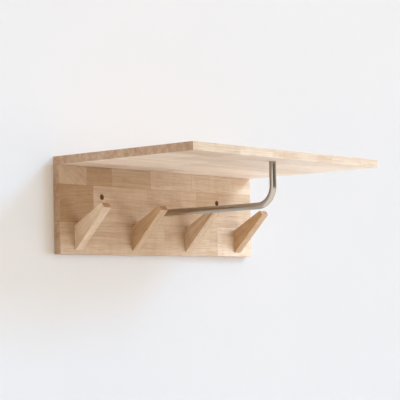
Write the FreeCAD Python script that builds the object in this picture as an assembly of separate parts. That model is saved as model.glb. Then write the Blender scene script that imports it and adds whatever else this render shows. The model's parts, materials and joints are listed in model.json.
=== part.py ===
"""Coat rack with a shelf: a wall board, a deep shelf on top of it, wedge pegs and a bent support rod.

Millimetres. X runs along the wall, the wall is the plane Y = 0, the front is -Y and Z is up.
The origin is on the wall, midway between the two wall-screw holes.
"""
import FreeCAD, Part
import math
import os

from FreeCAD import Vector

# Panels
WIDTH = 650.0
SHELF_DEPTH = 385.0
SHELF_THICK = 18.0
BOARD_HEIGHT = 188.0
BOARD_THICK = 18.0
PANEL_EASE = 1.0

# Wall-screw holes in the back board
WALL_HOLE_COUNT = 2
WALL_HOLE_MARGIN = 129.0
WALL_HOLE_DROP = 64.0
WALL_HOLE_DIA = 5.5
WALL_SINK_DIA = 12.5
WALL_SINK_DEPTH = 9.0

# Pegs: a wedge between two straight edges, with its nose cut square to the upper edge
PEG_COUNT = 4
PEG_MARGIN = 55.0
PEG_THICK = 24.0
PEG_LIFT = 9.0
PEG_FOOT = 52.5
PEG_TOP_LENGTH = 91.0
PEG_TOP_RISE = 29.0
PEG_UNDER_RISE = 45.0
PEG_TIP_ROUND = 4.0
PEG_NOSE_ROUND = 2.5
PEG_EASE = 1.2

# Support rod
ROD_DIA = 15.0
ROD_LIFT = 95.5
ROD_SETBACK = 52.5
ROD_BEND = 42.0

# Bolts into the rod's tapped ends
BOLT_DIA = 6.0
BOLT_HEAD_DIA = 12.0
BOLT_TIP_DIA = 4.5
BOLT_IN_ROD = 12.0
BOLT_DRIVE = 4.0
BOLT_DRIVE_DEPTH = 2.2

# Screws and dowels behind the pegs
PEG_SCREW_DIA = 4.5
PEG_SCREW_HEAD_DIA = 9.0
PEG_SCREW_IN_PEG = 26.0
PEG_SCREW_UP = 39.0
PEG_DOWEL_DIA = 6.0
PEG_DOWEL_IN_PEG = 10.0
PEG_DOWEL_IN_BOARD = 11.0
PEG_DOWEL_UP = 22.0

# Screws and dowels between the shelf and the back board
SHELF_SCREW_COUNT = 3
SHELF_SCREW_MARGIN = 55.0
SHELF_SCREW_DIA = 7.0
SHELF_SCREW_HEAD_DIA = 10.0
SHELF_SCREW_IN_BOARD = 32.0
SHELF_SCREW_DRIVE = 4.0
SHELF_SCREW_DRIVE_DEPTH = 2.5
SHELF_DOWEL_DIA = 8.0
SHELF_DOWEL_IN_SHELF = 12.0
SHELF_DOWEL_IN_BOARD = 18.0
DOWEL_FLUTES = 10
DOWEL_FLUTE_DEPTH = 0.35

# Fits
HOLE_GAP = 0.1
HEAD_SINK = 0.3
END_GAP = 0.5

# Heights and faces that the pieces share
BOARD_TOP = WALL_HOLE_DROP
BOARD_BOTTOM = BOARD_TOP - BOARD_HEIGHT
SHELF_TOP = BOARD_TOP + SHELF_THICK
BOARD_FRONT = -BOARD_THICK
PEG_FOOT_Z = BOARD_BOTTOM + PEG_LIFT
ROD_Z = BOARD_BOTTOM + ROD_LIFT
ROD_REACH = SHELF_DEPTH - ROD_SETBACK
JOINT_Y = -BOARD_THICK / 2

TO_FRONT = Vector(0, -1, 0)
DOWN = Vector(0, 0, -1)


def row(count, margin):
    """Places along X in equal steps, from one margin inside the left end to one inside the right end."""
    step = (WIDTH - 2 * margin) / (count - 1)
    return [margin - WIDTH / 2 + i * step for i in range(count)]


PEG_XS = row(PEG_COUNT, PEG_MARGIN)
SHELF_SCREW_XS = row(SHELF_SCREW_COUNT, SHELF_SCREW_MARGIN)
SHELF_DOWEL_XS = [(left + right) / 2 for left, right in zip(SHELF_SCREW_XS, SHELF_SCREW_XS[1:])]
WALL_HOLE_XS = row(WALL_HOLE_COUNT, WALL_HOLE_MARGIN)


def eased_panel(low, high, ease):
    """A sawn panel between two corners, with every arris taken off."""
    size = high.sub(low)
    panel = Part.makeBox(size.x, size.y, size.z, low)
    return panel.makeChamfer(ease, panel.Edges)


def set_into(solid, mouth, into):
    """Move a solid drawn downwards from the origin so that it starts at its mouth and runs along into."""
    solid.Placement = FreeCAD.Placement(mouth, FreeCAD.Rotation(DOWN, into))
    return solid


def turned(profile, mouth, into):
    """A solid of revolution from (radius, depth) points. Depth runs from the mouth along into."""
    points = [Vector(radius, 0, -depth) for radius, depth in profile]
    face = Part.Face(Part.makePolygon(points + points[:1]))
    solid = face.revolve(Vector(0, 0, 0), Vector(0, 0, 1), 360)
    return set_into(solid, mouth, into)


def rod_shape(dia, length, mouth, into):
    """A plain cylinder from its mouth along into."""
    return Part.makeCylinder(dia / 2, length, mouth, into)


def countersunk(dia, head_dia, length, tip_dia, mouth, into):
    """A countersunk screw with a 90 degree head and a 90 degree point, cut flat where the tip has a width."""
    head_height = (head_dia - dia) / 2
    profile = [
        (0, 0),
        (head_dia / 2, 0),
        (dia / 2, head_height),
        (dia / 2, length - (dia - tip_dia) / 2),
    ]
    if tip_dia > 0:
        profile.append((tip_dia / 2, length))
    profile.append((0, length))
    return turned(profile, mouth, into)


def countersunk_hole(dia, head_dia, length, mouth, into):
    """The hole for a countersunk screw, sunk so that the head lies below the surface."""
    bore = dia / 2 + HOLE_GAP
    rim = head_dia / 2 + HOLE_GAP + HEAD_SINK
    profile = [
        (0, 0),
        (rim, 0),
        (bore, rim - bore),
        (bore, length + END_GAP),
        (0, length + END_GAP),
    ]
    return turned(profile, mouth, into)


def hex_socket(across_flats, depth, mouth, into):
    """A hexagon key socket."""
    corner = across_flats / math.sqrt(3)
    angles = [math.radians(60 * i) for i in range(7)]
    points = [Vector(corner * math.cos(a), corner * math.sin(a), 0) for a in angles]
    socket = Part.Face(Part.makePolygon(points)).extrude(DOWN * depth)
    return set_into(socket, mouth, into)


def rounded_outline(corners):
    """A closed wire through (point, radius) corners, each rounded by a tangent arc."""
    edges = []
    starts = []
    ends = []
    count = len(corners)
    for i, (corner, radius) in enumerate(corners):
        to_last = corners[i - 1][0].sub(corner).normalize()
        to_next = corners[(i + 1) % count][0].sub(corner).normalize()
        half = to_last.getAngle(to_next) / 2
        setback = radius / math.tan(half)
        middle = to_last.add(to_next).normalize()
        crown = corner.add(middle * (radius / math.sin(half) - radius))
        starts.append(corner.add(to_last * setback))
        ends.append(corner.add(to_next * setback))
        if radius > 0:
            edges.append(Part.Arc(starts[i], crown, ends[i]).toShape())
    for i in range(count):
        edges.append(Part.LineSegment(ends[i], starts[(i + 1) % count]).toShape())
    return Part.Wire(Part.__sortEdges__(edges))


# Where each fastener starts and how long it is
PEG_SCREW_MOUTHS = [Vector(x, 0, PEG_FOOT_Z + PEG_SCREW_UP) for x in PEG_XS]
PEG_SCREW_LENGTH = BOARD_THICK + PEG_SCREW_IN_PEG - HEAD_SINK
SHELF_SCREW_MOUTHS = [Vector(x, JOINT_Y, SHELF_TOP) for x in SHELF_SCREW_XS]
SHELF_SCREW_LENGTH = SHELF_THICK + SHELF_SCREW_IN_BOARD - HEAD_SINK
REAR_BOLT_MOUTH = Vector(0, 0, ROD_Z)
REAR_BOLT_LENGTH = BOARD_THICK + BOLT_IN_ROD - HEAD_SINK
TOP_BOLT_MOUTH = Vector(0, -ROD_REACH, SHELF_TOP)
TOP_BOLT_LENGTH = SHELF_THICK + BOLT_IN_ROD - HEAD_SINK
PEG_DOWEL_STARTS = [Vector(x, BOARD_FRONT + PEG_DOWEL_IN_BOARD, PEG_FOOT_Z + PEG_DOWEL_UP) for x in PEG_XS]
PEG_DOWEL_LENGTH = PEG_DOWEL_IN_BOARD + PEG_DOWEL_IN_PEG
SHELF_DOWEL_STARTS = [Vector(x, JOINT_Y, BOARD_TOP + SHELF_DOWEL_IN_SHELF) for x in SHELF_DOWEL_XS]
SHELF_DOWEL_LENGTH = SHELF_DOWEL_IN_SHELF + SHELF_DOWEL_IN_BOARD


def peg_screw_holes():
    return [
        countersunk_hole(PEG_SCREW_DIA, PEG_SCREW_HEAD_DIA, PEG_SCREW_LENGTH + HEAD_SINK, mouth, TO_FRONT)
        for mouth in PEG_SCREW_MOUTHS
    ]


def shelf_screw_holes():
    return [
        countersunk_hole(SHELF_SCREW_DIA, SHELF_SCREW_HEAD_DIA, SHELF_SCREW_LENGTH + HEAD_SINK, mouth, DOWN)
        for mouth in SHELF_SCREW_MOUTHS
    ]


def rear_bolt_hole():
    return countersunk_hole(BOLT_DIA, BOLT_HEAD_DIA, REAR_BOLT_LENGTH + HEAD_SINK, REAR_BOLT_MOUTH, TO_FRONT)


def top_bolt_hole():
    return countersunk_hole(BOLT_DIA, BOLT_HEAD_DIA, TOP_BOLT_LENGTH + HEAD_SINK, TOP_BOLT_MOUTH, DOWN)


def dowel_holes(dia, length, starts, into):
    """Drilled holes for a row of dowels, with room round them and at both ends."""
    return [
        rod_shape(dia + 2 * HOLE_GAP, length + 2 * END_GAP, start.sub(into * END_GAP), into)
        for start in starts
    ]


def fluted_dowels(dia, length, starts, into):
    """A row of dowels with glue flutes pressed along them."""
    points = []
    for i in range(2 * DOWEL_FLUTES):
        radius = dia / 2 - DOWEL_FLUTE_DEPTH * (i % 2)
        angle = math.pi * i / DOWEL_FLUTES
        points.append(Vector(radius * math.cos(angle), radius * math.sin(angle), 0))
    section = Part.Face(Part.makePolygon(points + points[:1]))
    return Part.makeCompound([set_into(section.extrude(DOWN * length), start, into) for start in starts])


def peg_dowel_holes():
    return dowel_holes(PEG_DOWEL_DIA, PEG_DOWEL_LENGTH, PEG_DOWEL_STARTS, TO_FRONT)


def shelf_dowel_holes():
    return dowel_holes(SHELF_DOWEL_DIA, SHELF_DOWEL_LENGTH, SHELF_DOWEL_STARTS, DOWN)


def wall_holes():
    """Through holes for the wall screws, sunk from the front so that the heads lie inside the board."""
    holes = []
    for x in WALL_HOLE_XS:
        holes.append(rod_shape(WALL_HOLE_DIA, BOARD_THICK, Vector(x, 0, 0), TO_FRONT))
        sink_floor = Vector(x, BOARD_FRONT + WALL_SINK_DEPTH, 0)
        holes.append(rod_shape(WALL_SINK_DIA, WALL_SINK_DEPTH, sink_floor, TO_FRONT))
    return holes


def make_back_board():
    low = Vector(-WIDTH / 2, BOARD_FRONT, BOARD_BOTTOM)
    high = Vector(WIDTH / 2, 0, BOARD_TOP)
    board = eased_panel(low, high, PANEL_EASE)
    holes = wall_holes() + peg_screw_holes() + shelf_screw_holes() + [rear_bolt_hole()]
    holes += peg_dowel_holes() + shelf_dowel_holes()
    return board.cut(holes)


def make_shelf_board():
    low = Vector(-WIDTH / 2, -SHELF_DEPTH, BOARD_TOP)
    high = Vector(WIDTH / 2, 0, SHELF_TOP)
    shelf = eased_panel(low, high, PANEL_EASE)
    return shelf.cut(shelf_screw_holes() + shelf_dowel_holes() + [top_bolt_hole()])


def make_peg(x):
    """One wedge peg. Its foot lies flat on the board's front and keeps sharp edges there."""
    top_rise = math.radians(PEG_TOP_RISE)
    under_rise = math.radians(PEG_UNDER_RISE)
    out = Vector(0, -math.cos(top_rise), math.sin(top_rise))
    down_nose = Vector(0, -math.sin(top_rise), -math.cos(top_rise))
    foot_low = Vector(x - PEG_THICK / 2, BOARD_FRONT, PEG_FOOT_Z)
    foot_high = foot_low.add(Vector(0, 0, PEG_FOOT))
    tip = foot_high.add(out * PEG_TOP_LENGTH)
    # The nose runs square to the upper edge until it meets the lower edge.
    over = tip.sub(foot_low)
    past_under = over.z * math.cos(under_rise) + over.y * math.sin(under_rise)
    nose_length = past_under / math.cos(under_rise - top_rise)
    nose = tip.add(down_nose * nose_length)
    outline = rounded_outline([(foot_low, 0), (foot_high, 0), (tip, PEG_TIP_ROUND), (nose, PEG_NOSE_ROUND)])
    blank = Part.Face(outline).extrude(Vector(PEG_THICK, 0, 0))
    side_edges = []
    for edge in blank.Edges:
        on_foot = abs(edge.CenterOfMass.y - BOARD_FRONT) < HOLE_GAP
        across = abs(edge.BoundBox.XLength) > HOLE_GAP
        if not on_foot and not across:
            side_edges.append(edge)
    peg = blank.makeChamfer(PEG_EASE, side_edges)
    return peg.cut(peg_screw_holes() + peg_dowel_holes())


def make_support_rod():
    """The rod: level from the board, one bend, then up to the shelf. Both ends are drilled for a bolt."""
    bend_y = -ROD_REACH + ROD_BEND
    bend_z = ROD_Z + ROD_BEND
    rail = rod_shape(ROD_DIA, BOARD_FRONT - bend_y, Vector(0, BOARD_FRONT, ROD_Z), TO_FRONT)
    leg = rod_shape(ROD_DIA, BOARD_TOP - bend_z, Vector(0, -ROD_REACH, BOARD_TOP), DOWN)
    section = Part.Face(Part.Wire(Part.Circle(Vector(0, bend_y, ROD_Z), TO_FRONT, ROD_DIA / 2).toShape()))
    bend = section.revolve(Vector(0, bend_y, bend_z), Vector(-1, 0, 0), 90)
    rod = rail.fuse([bend, leg]).removeSplitter()
    return rod.cut([rear_bolt_hole(), top_bolt_hole()])


def make_peg_screws():
    screws = []
    for mouth in PEG_SCREW_MOUTHS:
        seat = mouth.add(TO_FRONT * HEAD_SINK)
        screw = countersunk(PEG_SCREW_DIA, PEG_SCREW_HEAD_DIA, PEG_SCREW_LENGTH, 0, seat, TO_FRONT)
        screws.append(screw)
    return Part.makeCompound(screws)


def make_shelf_screws():
    screws = []
    for mouth in SHELF_SCREW_MOUTHS:
        seat = mouth.add(DOWN * HEAD_SINK)
        screw = countersunk(SHELF_SCREW_DIA, SHELF_SCREW_HEAD_DIA, SHELF_SCREW_LENGTH, 0, seat, DOWN)
        screws.append(screw.cut(hex_socket(SHELF_SCREW_DRIVE, SHELF_SCREW_DRIVE_DEPTH, seat, DOWN)))
    return Part.makeCompound(screws)


def make_rod_bolts():
    bolts = []
    for mouth, length, into in (
        (REAR_BOLT_MOUTH, REAR_BOLT_LENGTH, TO_FRONT),
        (TOP_BOLT_MOUTH, TOP_BOLT_LENGTH, DOWN),
    ):
        seat = mouth.add(into * HEAD_SINK)
        bolt = countersunk(BOLT_DIA, BOLT_HEAD_DIA, length, BOLT_TIP_DIA, seat, into)
        bolts.append(bolt.cut(hex_socket(BOLT_DRIVE, BOLT_DRIVE_DEPTH, seat, into)))
    return Part.makeCompound(bolts)


parts = {
    "back_board": make_back_board(),
    "shelf_board": make_shelf_board(),
    "support_rod": make_support_rod(),
    "rod_bolts": make_rod_bolts(),
    "peg_screws": make_peg_screws(),
    "peg_dowels": fluted_dowels(PEG_DOWEL_DIA, PEG_DOWEL_LENGTH, PEG_DOWEL_STARTS, TO_FRONT),
    "shelf_screws": make_shelf_screws(),
    "shelf_dowels": fluted_dowels(SHELF_DOWEL_DIA, SHELF_DOWEL_LENGTH, SHELF_DOWEL_STARTS, DOWN),
}
for number, peg_x in enumerate(PEG_XS, start=1):
    parts["peg_%d" % number] = make_peg(peg_x)

os.makedirs("parts", exist_ok=True)
for node, shape in parts.items():
    shape.exportStep("parts/%s.step" % node)
    print("%-13s solids %d valid %s volume %.0f" % (node, len(shape.Solids), shape.isValid(), shape.Volume))
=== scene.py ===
# %% [markdown]
# # A coat rack with a shelf
# This lesson dresses a hallway coat rack: a back board of pale jointed hardwood, a deep shelf on
# top of it, four wedge pegs that lean out, and one bent steel rod that carries the shelf and takes
# hangers. The frame holds a plain solid for every piece, at its real size and place. Those solids
# could be painted as they are. We rebuild most of them, because rounded edges and wood grain need
# meshes that are laid out for them, and we leave every size as it is.

# %% Load the frame
import json
import math
import random

import bmesh
import bpy
from mathutils import Matrix, Vector


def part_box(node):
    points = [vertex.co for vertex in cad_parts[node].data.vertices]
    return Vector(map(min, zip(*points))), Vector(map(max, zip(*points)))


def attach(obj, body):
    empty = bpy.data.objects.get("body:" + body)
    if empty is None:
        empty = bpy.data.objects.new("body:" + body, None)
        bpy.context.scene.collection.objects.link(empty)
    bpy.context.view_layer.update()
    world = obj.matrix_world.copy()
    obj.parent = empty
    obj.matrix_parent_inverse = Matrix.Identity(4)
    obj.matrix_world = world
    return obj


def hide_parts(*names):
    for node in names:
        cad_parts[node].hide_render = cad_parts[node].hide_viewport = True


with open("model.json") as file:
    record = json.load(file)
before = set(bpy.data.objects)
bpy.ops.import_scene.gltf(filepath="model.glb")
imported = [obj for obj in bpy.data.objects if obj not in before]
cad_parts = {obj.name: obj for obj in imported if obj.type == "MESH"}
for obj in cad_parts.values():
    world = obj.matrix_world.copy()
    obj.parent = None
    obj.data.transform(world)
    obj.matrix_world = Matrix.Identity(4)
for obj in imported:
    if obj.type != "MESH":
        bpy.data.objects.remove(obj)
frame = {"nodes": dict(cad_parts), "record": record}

scene = bpy.context.scene
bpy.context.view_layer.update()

# %% [markdown]
# ## Measures
# Two panels carry everything else: the back board on the wall, and the shelf that lies on its
# upper edge. Their corners could be typed in, but then they would have to be kept equal to the
# frame's by hand, so we ask the frame for each node's box. Blender counts in metres, and MM turns
# millimetres into metres. X runs along the wall, the wall is the plane Y = 0, the room is on the
# -Y side, and Z is up.

# %% Measures from the frame
MM = 0.001


def node_box(node):
    low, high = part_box(node)
    return Vector(low), Vector(high)


board_low, board_high = node_box("back_board")
shelf_low, shelf_high = node_box("shelf_board")
for panel, size in (("board", board_high - board_low), ("shelf", shelf_high - shelf_low)):
    print(panel, [round(length / MM, 1) for length in size], "mm")

# %% [markdown]
# ## The camera
# The photograph was taken from the left and from a little below the shelf, with a long lens. A
# camera can be turned by the three angles in its panel, but it is hard to see what they do
# together. Here yaw turns it, pitch raises it and roll tips it. Each step gives a direction, and
# the three directions right, up and back are the columns of the camera's matrix.

# %% Camera at the photograph's place
camera_place = Vector((-2.6297, -2.3118, -0.2361))
camera_yaw = math.radians(50.316)
camera_pitch = math.radians(3.855)
camera_roll = math.radians(-1.345)
forward = Vector((math.sin(camera_yaw) * math.cos(camera_pitch),
                  math.cos(camera_yaw) * math.cos(camera_pitch),
                  math.sin(camera_pitch)))
level_right = Vector((math.cos(camera_yaw), -math.sin(camera_yaw), 0.0))
level_up = level_right.cross(forward)
right = math.cos(camera_roll) * level_right + math.sin(camera_roll) * level_up
up = math.cos(camera_roll) * level_up - math.sin(camera_roll) * level_right

camera = bpy.data.objects.new("camera", bpy.data.cameras.new("camera"))
camera.data.sensor_width = 36.0
camera.data.lens = 139.66
camera.data.clip_end = 50.0
turn = Matrix((right, up, -forward)).transposed().to_4x4()
camera.matrix_world = Matrix.Translation(camera_place) @ turn
scene.collection.objects.link(camera)
scene.camera = camera
print("camera looks along", [round(v, 3) for v in forward])

# %% [markdown]
# ## Helpers for node trees
# Every finish below is a tree of shader nodes. The nodes could be wired one line at a time, but a
# tree of thirty nodes then takes a hundred lines. One helper adds a node and fills its sockets: a
# plain value is set, and the output of another node gets a link. The other starts a material with
# its Principled shader.

# %% Add nodes
def add_node(tree, kind, settings=None, **sockets):
    """Sockets are named, with _ for a space, or numbered as i0, i1 and so on."""
    made = tree.nodes.new(kind)
    for name, value in (settings or {}).items():
        setattr(made, name, value)
    for name, value in sockets.items():
        numbered = name[1:].isdigit()
        socket = made.inputs[int(name[1:]) if numbered else name.replace("_", " ")]
        if isinstance(value, bpy.types.NodeSocket):
            tree.links.new(value, socket)
        else:
            socket.default_value = value
    return made


def new_finish(name, **sockets):
    finish = bpy.data.materials.new(name)
    finish.use_nodes = True
    shader = finish.node_tree.nodes["Principled BSDF"]
    for socket, value in sockets.items():
        shader.inputs[socket.replace("_", " ")].default_value = value
    return finish, finish.node_tree, shader


print("helpers:", add_node.__name__, new_finish.__name__)

# %% [markdown]
# ## Steps that all finishes share
# Wood, steel and paint are mixed from the same few steps: a sum, a blend of two colours, one range
# stretched onto another, and noise. Each step is one node, so each gets a helper of one line or
# two. Noise is stretched by a Mapping node, because grain and brush lines are long one way and
# fine the other.

# %% Sums, blends, ranges and noise
def math_node(tree, operation, first, second=0.0):
    made = add_node(tree, "ShaderNodeMath", {"operation": operation}, i0=first, i1=second)
    return made.outputs[0]


def mix_colour(tree, factor, first, second, blend="MIX"):
    settings = {"data_type": "RGBA", "blend_type": blend, "clamp_factor": True}
    return add_node(tree, "ShaderNodeMix", settings, i0=factor, i6=first, i7=second).outputs[2]


def remap(tree, value, low, high, to_low=0.0, to_high=1.0):
    made = add_node(tree, "ShaderNodeMapRange", {"clamp": True}, i0=value, i1=low, i2=high,
                    i3=to_low, i4=to_high)
    return made.outputs[0]


def noise(tree, place, scale, detail=2.0, rough=0.5):
    stretched = add_node(tree, "ShaderNodeMapping", {"vector_type": "POINT"},
                         Vector=place, Scale=scale)
    made = add_node(tree, "ShaderNodeTexNoise", {"noise_dimensions": "3D"},
                    Vector=stretched.outputs[0], Scale=1.0, Detail=detail, Roughness=rough)
    return made.outputs[0]


print("steps:", [step.__name__ for step in (math_node, mix_colour, remap, noise)])

# %% [markdown]
# ## What a shader needs to know about wood
# The board and the shelf are glued up from staves of a pale, even hardwood. Each stave comes from
# another tree, so its tone and its grain differ from its neighbour's. One big texture could paint
# this, but its grain would run straight through the joints. So each mesh carries five facts for
# the shader to read: `wood_place`, where a point lies in its own tree, along the grain and then
# twice across it; `stave_border`, the distances to the four joints; `stave_tone`, from pale to
# deep; `end_grain`, which is 1 where the fibres are cut across; and `bored`, which is 1 inside a
# drilled hole.

# %% Grain facts
GRAIN_FACTS = (          # name, kind of number, what it is stored on
    ("wood_place", "FLOAT_VECTOR", "CORNER"),
    ("stave_border", "FLOAT_COLOR", "CORNER"),
    ("stave_tone", "FLOAT", "FACE"),
    ("end_grain", "FLOAT", "FACE"),
    ("bored", "FLOAT", "FACE"),
)


def read_fact(tree, name):
    return add_node(tree, "ShaderNodeAttribute", {"attribute_name": name}).outputs


print("facts:", [name for name, kind, domain in GRAIN_FACTS])

# %% [markdown]
# ## Growth rings
# A tree grows one ring a year. A sawn face shows the rings as stripes or arches, and a cut end as
# curved bands. A stripe texture would look alike on all of them. Here the rings are true circles:
# the distance from the tree's heart goes through a sine wave, so that faces, edges and ends agree.
# A slow noise bends the rings a little, because no tree grows quite straight.

# %% Growth rings
RING_BEND = 16.0 * MM


def growth_rings(tree, place, drift, ring_width):
    """A wave that turns once for each ring."""
    spot = add_node(tree, "ShaderNodeSeparateXYZ", Vector=place).outputs
    bend = add_node(tree, "ShaderNodeMath", {"operation": "MULTIPLY_ADD"}, i0=drift, i1=RING_BEND,
                    i2=-RING_BEND / 2)
    across = math_node(tree, "ADD", spot["Y"], bend.outputs[0])
    squares = [math_node(tree, "MULTIPLY", side, side) for side in (across, spot["Z"])]
    heart = math_node(tree, "SQRT", math_node(tree, "ADD", *squares))
    return math_node(tree, "SINE", math_node(tree, "MULTIPLY", heart, math.tau / ring_width))


print("rings bend by", RING_BEND / MM, "mm")

# %% [markdown]
# ## Glue lines and stains
# Between two staves there is a thin dark line of glue. It could be modelled as a groove, but on a
# sanded panel it lies flush, so the finish draws it where the nearest joint is less than half a
# millimetre away. Everything that darkens wood takes blue first and red last. One helper does this
# for rings, fibres, pores and glue, and for the painted shade in drilled holes, so the wood keeps
# one hue.

# %% Glue lines and stains
GLUE_DARK = 0.10         # millimetres from the joint
GLUE_CLEAR = 0.45


def glue_lines(tree, border):
    sides = add_node(tree, "ShaderNodeSeparateColor", Color=border["Color"]).outputs
    ends = math_node(tree, "MINIMUM", sides[0], sides[1])
    edges = math_node(tree, "MINIMUM", sides[2], border["Alpha"])
    nearest = math_node(tree, "MINIMUM", ends, edges)
    return remap(tree, nearest, GLUE_DARK, GLUE_CLEAR, 1.0, 0.0)


def stain_and_shade(tree, under, mask, amount, red=0.50, green=0.78):
    """Take blue from a colour by the full amount, and green and red by a share of it."""
    tint = (1.0 - red * amount, 1.0 - green * amount, 1.0 - amount, 1.0)
    return mix_colour(tree, mask, under, tint, "MULTIPLY")


print("a glue line fades out at", GLUE_CLEAR, "mm")

# %% [markdown]
# ## The marks of pale hardwood
# The wood's look comes from many faint marks on top of each other: slow drift of tone, bands,
# cross figure, rings, streaks, fibres and small dark pores. One strong noise would look like
# camouflage. So each mark is a noise of its own size, and each darkens the colour only a little.
# Two tables hold the numbers, which makes them easy to compare: how fine a mark is along and
# across the grain, and how much it stains.

# %% Wood marks
WOOD_MARKS = {           # waves per metre along the grain, across it, detail, roughness
    "drift": (3.0, 22.0, 2.0, 0.5),
    "band": (4.5, 85.0, 2.0, 0.5),
    "figure": (55.0, 20.0, 3.0, 0.6),
    "streak": (13.0, 300.0, 3.0, 0.6),
    "fibre": (26.0, 1100.0, 3.0, 0.65),
    "pores": (30.0, 620.0, 1.0, 0.5),
    "blotch": (1.0, 70.0, 4.0, 0.65),
}
PORE_START, PORE_FULL = 0.64, 0.72
WOOD_STAINS = (          # mark, where it starts, where it is full, how dark it is
    ("drift", 0.30, 0.70, 0.16),
    ("band", 0.40, 0.68, 0.19),
    ("figure", 0.40, 0.70, 0.13),
    ("rings", -0.20, 1.00, 0.10),
    ("streak", 0.42, 0.70, 0.22),
    ("fibre", 0.40, 0.75, 0.22),
    ("pores", PORE_START, PORE_FULL, 0.40),
)
print("wood:", len(WOOD_MARKS), "marks,", len(WOOD_STAINS), "stains")

# %% [markdown]
# ## The colour of a stave
# A deep stave starts from a deeper colour than a pale one, and the marks are laid over it. A cut
# end drinks more lacquer, so it goes dark in blotches and hides the stave's own tone. A drilled
# hole gets painted shade: its wall is darker still, for the little light that comes out of it. All
# this could be painted into images, but each piece would need its own.
# One function that reads the facts serves every piece.

# %% Wood colour
END_TONE = 0.3           # how much of a stave's tone shows on its cut end
END_RED, END_GREEN = 0.64, 0.85
BLOTCH_LEAST = 0.55      # how much of the end stain is left between the blotches
GLUE_STAIN = 0.45
# painted shade: how far the colour inside a drilled hole is darkened, in place of the shade there
BORE_PAINTED_SHADE = 0.93


def wood_colour(tree, pale, deep, ring_width, end_stain):
    """The colour, and the masks of the marks, which the lacquer needs too."""
    place = read_fact(tree, "wood_place")["Vector"]
    tone, end, bored = [read_fact(tree, name)["Fac"]
                        for name in ("stave_tone", "end_grain", "bored")]
    masks = {mark: noise(tree, place, (along, across, across), detail, rough)
             for mark, (along, across, detail, rough) in WOOD_MARKS.items()}
    masks["rings"] = growth_rings(tree, place, masks["drift"], ring_width)
    masks["glue"] = glue_lines(tree, read_fact(tree, "stave_border"))

    face_tone = math_node(tree, "MULTIPLY", tone, remap(tree, end, 0.0, 1.0, 1.0, END_TONE))
    colour = mix_colour(tree, face_tone, (*pale, 1.0), (*deep, 1.0))
    for mark, start, full, amount in WOOD_STAINS:
        colour = stain_and_shade(tree, colour, remap(tree, masks[mark], start, full), amount)
    blotches = remap(tree, masks["blotch"], 0.35, 0.65, BLOTCH_LEAST, 1.0)
    cut_end = math_node(tree, "MULTIPLY", end, blotches)
    colour = stain_and_shade(tree, colour, cut_end, end_stain, END_RED, END_GREEN)
    colour = stain_and_shade(tree, colour, masks["glue"], GLUE_STAIN)
    # painted shade on the wall of a drilled hole, where little light comes out
    return stain_and_shade(tree, colour, bored, BORE_PAINTED_SHADE), masks


print("a cut end keeps", END_TONE, "of its stave's tone")

# %% [markdown]
# ## Matt lacquer
# The rack is finished with a thin matt lacquer that follows the wood. Fibres stand up a little,
# and pores and glue lines are slightly sunk. A thick clear coat would look like plastic, so the
# lacquer is only the shader's own soft shine. The fibre noise varies its roughness, and a Bump
# node lets the marks catch the light. The pegs are solid wood of a warmer tree, with wider rings
# and darker ends.

# %% Lacquered wood
LACQUER_ROUGH = 0.56
LACQUER_IOR = 1.46
FIBRE_HEIGHT = 0.6
RELIEF_STRENGTH = 0.35
RELIEF_HEIGHT = 0.12 * MM


def wood_finish(name, pale, deep, ring_width, end_stain):
    finish, tree, shader = new_finish(name, Roughness=LACQUER_ROUGH, IOR=LACQUER_IOR)
    colour, masks = wood_colour(tree, pale, deep, ring_width, end_stain)
    tree.links.new(colour, shader.inputs["Base Color"])
    rough = remap(tree, masks["fibre"], 0.2, 0.8, LACQUER_ROUGH - 0.07, LACQUER_ROUGH + 0.09)
    tree.links.new(rough, shader.inputs["Roughness"])
    pores = remap(tree, masks["pores"], PORE_START, PORE_FULL)
    fibres = math_node(tree, "MULTIPLY", masks["fibre"], FIBRE_HEIGHT)
    height = math_node(tree, "SUBTRACT", math_node(tree, "SUBTRACT", fibres, pores), masks["glue"])
    bump = add_node(tree, "ShaderNodeBump", Strength=RELIEF_STRENGTH, Distance=RELIEF_HEIGHT,
                    Height=height)
    tree.links.new(bump.outputs[0], shader.inputs["Normal"])
    return finish


panel_wood = wood_finish("pale_jointed_hardwood", pale=(0.93, 0.805, 0.660),
                         deep=(0.50, 0.335, 0.185), ring_width=3.4 * MM, end_stain=0.56)
peg_wood = wood_finish("pale_peg_hardwood", pale=(0.90, 0.750, 0.570),
                       deep=(0.57, 0.340, 0.135), ring_width=4.2 * MM, end_stain=0.84)
print("wood finishes:", panel_wood.name, peg_wood.name)

# %% [markdown]
# ## A stave's place in its tree
# A stave is a box sawn from a tree. To place it there we give it three directions, along the
# grain, across it and through it, and a random spot some centimetres from the heart. All staves
# could share one spot, but then the same rings would show again and again. A spot right at the
# heart would give tight circles, which a mill cuts away.

# %% Grain frame
HEART_NEAR, HEART_FAR = 35.0, 130.0      # millimetres from the heart
TRUNK_REACH = 5.0                        # metres up and down the trunk


def grain_frame(grain, width):
    along = Vector(grain).normalized()
    thick = along.cross(Vector(width)).normalized()
    return along, thick.cross(along), thick


def heart_shift(draw):
    """A random place in a tree: anywhere along it, and off to one side of its heart."""
    angle = draw.uniform(0.0, math.tau)
    away = draw.uniform(HEART_NEAR, HEART_FAR) * MM
    height = draw.uniform(-TRUNK_REACH, TRUNK_REACH)
    return Vector((height, away * math.cos(angle), away * math.sin(angle)))


print("staves lie", HEART_NEAR, "to", HEART_FAR, "mm from the heart of their tree")

# %% [markdown]
# ## Telling the mesh where it lies
# For each corner of each face we work out how far it lies along the stave's directions, and how
# far from its joints. UV maps could hold two of these numbers, but attributes hold all of them
# under names that can be read. The numbers are straight-line functions of the position, so they
# stay exact between the corners.

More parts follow.
